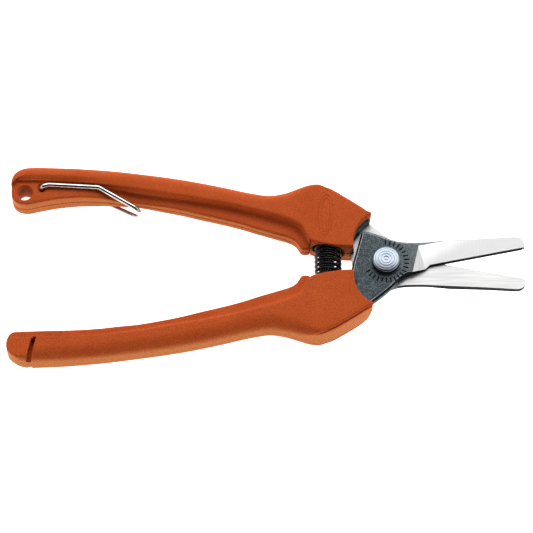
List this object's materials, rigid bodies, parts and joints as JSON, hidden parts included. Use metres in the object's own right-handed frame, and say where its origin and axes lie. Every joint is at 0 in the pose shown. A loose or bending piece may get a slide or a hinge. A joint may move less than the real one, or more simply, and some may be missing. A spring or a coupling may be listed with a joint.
{
  "type": "floral snips",
  "caption": "Spring-opened floral snips with long straight narrow blades, orange moulded handles, coil spring and a wire latch.",
  "frame": {"origin": "centre of the lying snips' footprint, on the surface they lie on", "axes": "+X from the handle ends to the blade tips, +Y to the handle with the hang hole, +Z out of the face with the rivet's round head"},
  "size_m": [0.188, 0.0776, 0.0134],
  "materials": {
    "orange_moulding": "fine matt grain",
    "blade_steel": "phosphated bolster, ground and brushed edge faces",
    "rivet_steel": "bright turned",
    "spring_steel": "black oiled spring wire",
    "latch_steel": "bright plated wire"
  },
  "bodies": {
    "lower_half": {"lower_handle": "orange_moulding", "front_blade": "blade_steel", "pivot_rivet": "rivet_steel", "pivot_washer": "rivet_steel", "return_spring": "spring_steel"},
    "upper_half": {"upper_handle": "orange_moulding", "back_blade": "blade_steel"},
    "latch": {"latch_wire": "latch_steel"}
  },
  "joints": [
    {"name": "pivot", "type": "hinge", "parent": "lower_half", "child": "upper_half", "pos_m": [0.0434, 0, 0.0067], "axis": [0, 0, 1], "range_deg": [0, 15.1], "stiffness_Nm_per_rad": 0.84, "springref_deg": -8.59, "deforming": ["return_spring"]},
    {"name": "latch_swing", "type": "hinge", "parent": "upper_half", "child": "latch", "pos_m": [-0.0823, 0.0297, 0.0067], "axis": [0, 0, -1], "range_deg": [0, 92.5]}
  ]
}
